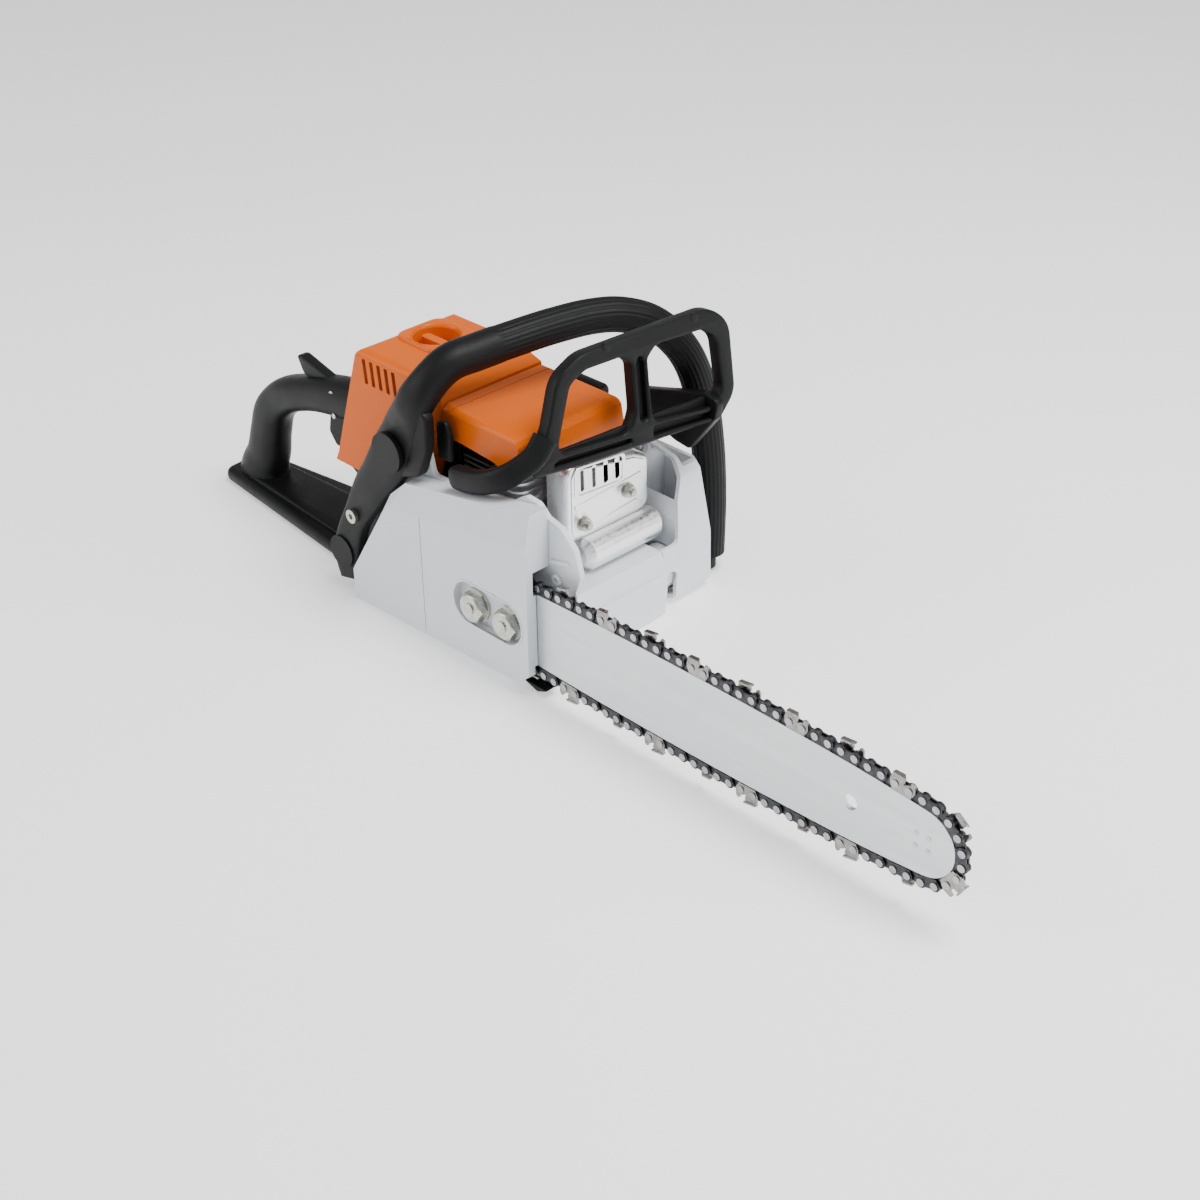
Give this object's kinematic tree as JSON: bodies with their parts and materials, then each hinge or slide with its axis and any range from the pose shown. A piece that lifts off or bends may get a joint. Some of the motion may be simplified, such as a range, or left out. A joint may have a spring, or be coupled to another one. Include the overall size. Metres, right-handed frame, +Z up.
{
  "type": "chainsaw",
  "caption": "Petrol chainsaw with guide bar and chain, orange covers, white housing, hooped front handle, hand guard and rear handle with throttle trigger.",
  "frame": {"origin": "on the resting face under the engine housing, straight below the drive sprocket's axis, 90 mm left of the guide bar's mid-plane", "axes": "+X forward along the guide bar, +Y to the operator's left, +Z up"},
  "size_m": [0.7257, 0.2226, 0.2183],
  "materials": {
    "orange_plastic": "glossy moulded",
    "light_grey_plastic": "satin moulded",
    "white_plastic": "satin moulded",
    "black_plastic": "fine matte texture",
    "cast_aluminium": "cast",
    "machined_steel": "machined",
    "spring_steel": "blued",
    "muffler_steel": "bright stamped sheet",
    "zinc_steel": "zinc plated",
    "bar_steel": "satin ground",
    "nose_steel": "ground",
    "chain_steel": "dark oiled",
    "cutter_chrome": "chrome-plated, slightly dull",
    "rivet_steel": "polished heads",
    "rubber": "matte",
    "coil_resin": "potted",
    "filter_felt": "pleated felt",
    "rope": "braided"
  },
  "bodies": {
    "saw": {"engine_housing": "white_plastic", "fan_housing": "white_plastic", "engine_pan": "cast_aluminium", "cylinder": "cast_aluminium", "crank_bearings": "machined_steel", "clutch_drum": "machined_steel", "drum_bearing": "machined_steel", "oil_pump": "cast_aluminium", "brake_band": "spring_steel", "muffler": "muffler_steel", "muffler_bolts": "zinc_steel", "spark_plug": "zinc_steel", "spark_plug_boot": "rubber", "intake_boot": "rubber", "carburettor": "cast_aluminium", "air_filter": "filter_felt", "ignition_module": "coil_resin", "carburettor_box": "black_plastic", "carburettor_box_cover": "orange_plastic", "shroud": "orange_plastic", "rewind_spring": "spring_steel", "rear_handle": "black_plastic", "front_handlebar": "black_plastic", "buffer_plugs": "black_plastic", "av_buffers": "rubber", "frame_screws": "zinc_steel", "trigger_pins": "zinc_steel", "throttle_rod": "black_plastic", "sprocket_cover": "light_grey_plastic", "cover_nuts": "zinc_steel", "bar_studs": "zinc_steel", "chain_catcher": "black_plastic", "chain_tensioner": "zinc_steel", "guide_bar": "bar_steel", "nose_sprocket": "nose_steel", "bar_nose_rivets": "nose_steel", "chain_drive_links": "chain_steel", "chain_tie_straps": "chain_steel", "chain_cutters": "cutter_chrome", "chain_rivets": "rivet_steel"},
    "crank": {"crankshaft": "machined_steel", "flywheel": "cast_aluminium", "starter_pawls": "machined_steel", "clutch_shoes": "machined_steel", "drum_retainers": "machined_steel"},
    "piston_group": {"piston": "cast_aluminium", "piston_pins": "machined_steel", "connecting_rod": "machined_steel"},
    "trigger": {"throttle_trigger": "black_plastic"},
    "throttle": {"throttle_shaft": "zinc_steel"},
    "interlock": {"trigger_interlock": "black_plastic"},
    "control": {"control_lever": "black_plastic"},
    "guard": {"hand_guard": "black_plastic"},
    "brake": {"brake_lever": "machined_steel"},
    "pulley": {"starter_pulley": "black_plastic"},
    "grip": {"starter_grip": "black_plastic", "starter_rope": "rope"},
    "cover_lock": {"cover_lock_knob": "orange_plastic"},
    "fuel_filler": {"fuel_cap": "black_plastic"},
    "oil_filler": {"oil_cap": "black_plastic"}
  },
  "joints": [
    {"name": "crank_spin", "type": "hinge", "parent": "saw", "child": "crank", "pos_m": [0, -0.015, 0.05], "axis": [0, 1, 0], "continuous": true},
    {"name": "piston_stroke", "type": "slide", "parent": "saw", "child": "piston_group", "axis": [0, 0, 1], "range_m": [0, 0.0282]},
    {"name": "throttle_pull", "type": "hinge", "parent": "saw", "child": "trigger", "pos_m": [-0.157, -0.04, 0.1], "axis": [0, 1, 0], "range_deg": [0, 20], "stiffness_Nm_per_rad": 0.3, "springref_deg": -17.19},
    {"name": "throttle_turn", "type": "hinge", "parent": "saw", "child": "throttle", "pos_m": [-0.086, -0.015, 0.103], "axis": [0, 1, 0], "range_deg": [0, 50]},
    {"name": "interlock_press", "type": "hinge", "parent": "saw", "child": "interlock", "pos_m": [-0.158, -0.04, 0.117], "axis": [0, -1, 0], "range_deg": [0, 8], "stiffness_Nm_per_rad": 0.1, "springref_deg": -17.19},
    {"name": "control_turn", "type": "hinge", "parent": "saw", "child": "control", "pos_m": [-0.122, -0.0565, 0.07], "axis": [0, -1, 0], "range_deg": [0, 35]},
    {"name": "guard_tilt", "type": "hinge", "parent": "saw", "child": "guard", "pos_m": [0.022, 0, 0.131], "axis": [0, 1, 0], "range_deg": [0, 10]},
    {"name": "brake_turn", "type": "hinge", "parent": "saw", "child": "brake", "pos_m": [0.03, -0.083, 0.1], "axis": [0, 1, 0], "range_deg": [-15, 0]},
    {"name": "starter_pull", "type": "slide", "parent": "saw", "child": "grip", "axis": [0, 0, 1], "range_m": [0, 0.1], "stiffness_N_per_m": 30, "springref_m": -0.2},
    {"name": "pulley_spin", "type": "hinge", "parent": "saw", "child": "pulley", "pos_m": [0, 0.064, 0.05], "axis": [0, 1, 0], "range_deg": [0, 290]},
    {"name": "cover_lock_turn", "type": "hinge", "parent": "saw", "child": "cover_lock", "pos_m": [-0.08, -0.018, 0.169], "axis": [0, 0, 1], "range_deg": [0, 90]},
    {"name": "fuel_cap_turn", "type": "hinge", "parent": "saw", "child": "fuel_filler", "pos_m": [-0.084, 0.028, 0.04], "axis": [0, 1, 0], "range_deg": [0, 90]},
    {"name": "oil_cap_turn", "type": "hinge", "parent": "saw", "child": "oil_filler", "pos_m": [0.06, 0.087, 0.022], "axis": [0, 1, 0], "range_deg": [0, 90]}
  ],
  "couplings": [
    {"joint": "throttle_turn", "follows": "throttle_pull", "ratio": 2.2857},
    {"joint": "brake_turn", "follows": "guard_tilt", "ratio": -1.5},
    {"joint": "pulley_spin", "follows": "starter_pull", "rad_per_m": 50}
  ]
}
